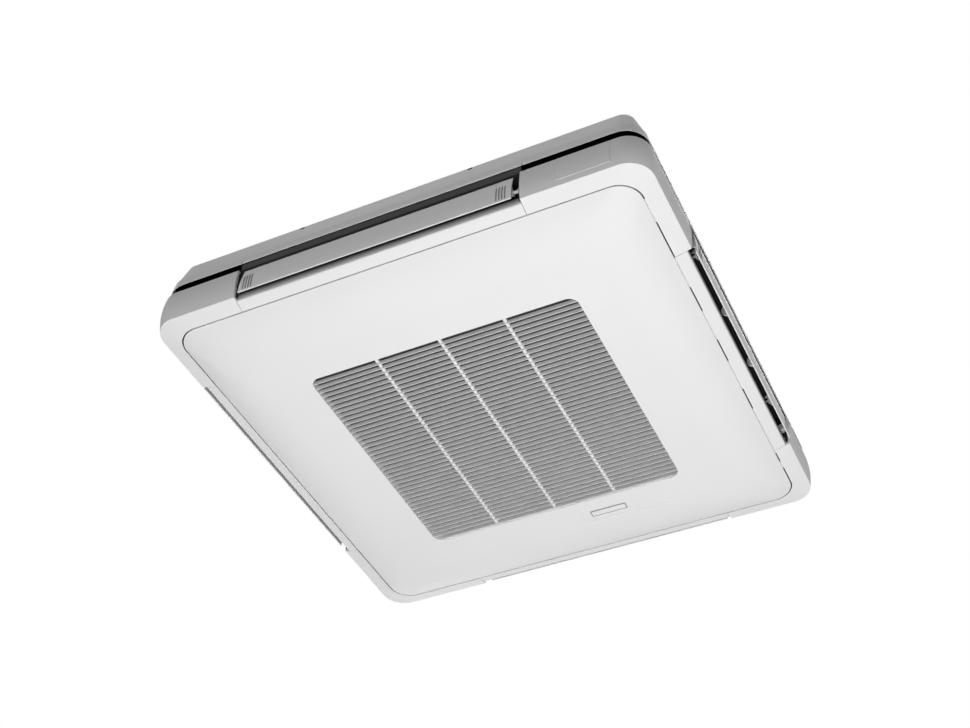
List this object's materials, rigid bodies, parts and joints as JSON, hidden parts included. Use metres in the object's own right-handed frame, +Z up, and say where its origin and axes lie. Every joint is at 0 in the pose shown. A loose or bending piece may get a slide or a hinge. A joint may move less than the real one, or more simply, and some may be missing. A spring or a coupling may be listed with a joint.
{
  "type": "ceiling cassette air conditioner",
  "caption": "Square four-way blow air conditioner that hangs close under a ceiling, with a hinged suction panel, an air flap on each side and refrigerant and drain connections on top.",
  "frame": {"origin": "centre of the four suspension slots, on the top face of the casing", "axes": "+Z up towards the ceiling; -Y is the side on which the suction panel is hinged; +X to the right when looking along +Y; the short and long corner covers alternate round the plan"},
  "size_m": [0.96, 0.96, 0.198],
  "materials": {
    "painted_casing": "pressed steel, satin off-white paint",
    "white_plastic": "fine matt off-white moulding",
    "grille_plastic": "fine matt off-white moulding",
    "badge": "smooth satin, bare",
    "dark_duct": "dark matt foam-lined moulding",
    "shield_steel": "dark matt coated sheet",
    "foam": "expanded foam, fine closed cells",
    "galvanised": "galvanised steel sheet",
    "hinge_steel": "bright plated steel",
    "motor_alloy": "die-cast, dull",
    "rubber": "matt black rubber",
    "shaft_steel": "ground steel",
    "fan_plastic": "glass-filled light grey moulding",
    "coil_fins": "close-set aluminium fins",
    "copper": "drawn copper tube",
    "brass": "machined brass",
    "pan_foam": "white moulded tray",
    "pump_plastic": "dark moulded plastic",
    "hose": "grey ribbed hose",
    "socket_plastic": "grey pipe plastic",
    "board": "green lacquered board",
    "terminal": "black moulded plastic",
    "filter_frame": "dark moulded frame",
    "filter_net": "fine black resin net",
    "actuator": "small moulded motor case",
    "bush": "acetal"
  },
  "bodies": {
    "root": {"bell_mouth": "dark_duct", "cable_grommet": "rubber", "circuit_board": "board", "coil_bends": "copper", "coil_end_plates": "galvanised", "control_box": "galvanised", "control_box_lid": "galvanised", "corner_cover_back_left": "white_plastic", "corner_cover_back_right": "white_plastic", "corner_cover_front_left": "white_plastic", "corner_cover_front_right": "white_plastic", "corner_shields": "shield_steel", "drain_hose": "hose", "drain_pan": "pan_foam", "drain_pump": "pump_plastic", "drain_socket": "socket_plastic", "fan_motor": "motor_alloy", "flap_bushes": "bush", "flap_motor_back": "actuator", "flap_motor_front": "actuator", "flap_motor_left": "actuator", "flap_motor_right": "actuator", "float_stem": "pump_plastic", "foam_liner": "foam", "gas_pipe": "copper", "gas_union": "brass", "hanger_brackets": "galvanised", "heat_exchanger": "coil_fins", "hinge_brackets": "hinge_steel", "lid_screws": "hinge_steel", "liquid_pipe": "copper", "liquid_union": "brass", "motor_bushes": "rubber", "outlet_frame_back": "dark_duct", "outlet_frame_front": "dark_duct", "outlet_frame_left": "dark_duct", "outlet_frame_right": "dark_duct", "outlet_lip_back": "white_plastic", "outlet_lip_front": "white_plastic", "outlet_lip_left": "white_plastic", "outlet_lip_right": "white_plastic", "pipe_knockout": "white_plastic", "terminal_block": "terminal", "top_casing": "painted_casing"},
    "fan": {"motor_shaft": "shaft_steel", "turbo_fan": "fan_plastic", "fan_nut": "hinge_steel"},
    "flap_front": {"flap_front": "white_plastic"},
    "flap_right": {"flap_right": "white_plastic"},
    "flap_back": {"flap_back": "white_plastic"},
    "flap_left": {"flap_left": "white_plastic"},
    "panel": {"suction_panel": "white_plastic", "intake_grille": "grille_plastic", "filter_frame": "filter_frame", "filter_mesh": "filter_net", "badge_plate": "badge"},
    "latch_left": {"panel_latch_left": "white_plastic"},
    "latch_right": {"panel_latch_right": "white_plastic"},
    "float": {"float_ring": "fan_plastic"}
  },
  "joints": [
    {"name": "fan_spin", "type": "hinge", "parent": "root", "child": "fan", "pos_m": [0, 0, -0.06], "axis": [0, 0, 1], "continuous": true},
    {"name": "flap_front_swing", "type": "hinge", "parent": "root", "child": "flap_front", "pos_m": [0, -0.466, -0.131], "axis": [-1, 0, 0], "range_deg": [0, 80]},
    {"name": "flap_right_swing", "type": "hinge", "parent": "root", "child": "flap_right", "pos_m": [0.466, 0, -0.131], "axis": [0, -1, 0], "range_deg": [0, 80]},
    {"name": "flap_back_swing", "type": "hinge", "parent": "root", "child": "flap_back", "pos_m": [0, 0.466, -0.131], "axis": [1, 0, 0], "range_deg": [0, 80]},
    {"name": "flap_left_swing", "type": "hinge", "parent": "root", "child": "flap_left", "pos_m": [-0.466, 0, -0.131], "axis": [0, 1, 0], "range_deg": [0, 80]},
    {"name": "panel_hinge", "type": "hinge", "parent": "root", "child": "panel", "pos_m": [0, -0.43, -0.172], "axis": [-1, 0, 0], "range_deg": [0, 70]},
    {"name": "latch_left_slide", "type": "slide", "parent": "panel", "child": "latch_left", "axis": [0, -1, 0], "range_m": [0, 0.006], "stiffness_N_per_m": 200, "springref_m": -0.003},
    {"name": "latch_right_slide", "type": "slide", "parent": "panel", "child": "latch_right", "axis": [0, -1, 0], "range_m": [0, 0.006], "stiffness_N_per_m": 200, "springref_m": -0.003},
    {"name": "float_rise", "type": "slide", "parent": "root", "child": "float", "axis": [0, 0, 1], "range_m": [0, 0.01]}
  ]
}
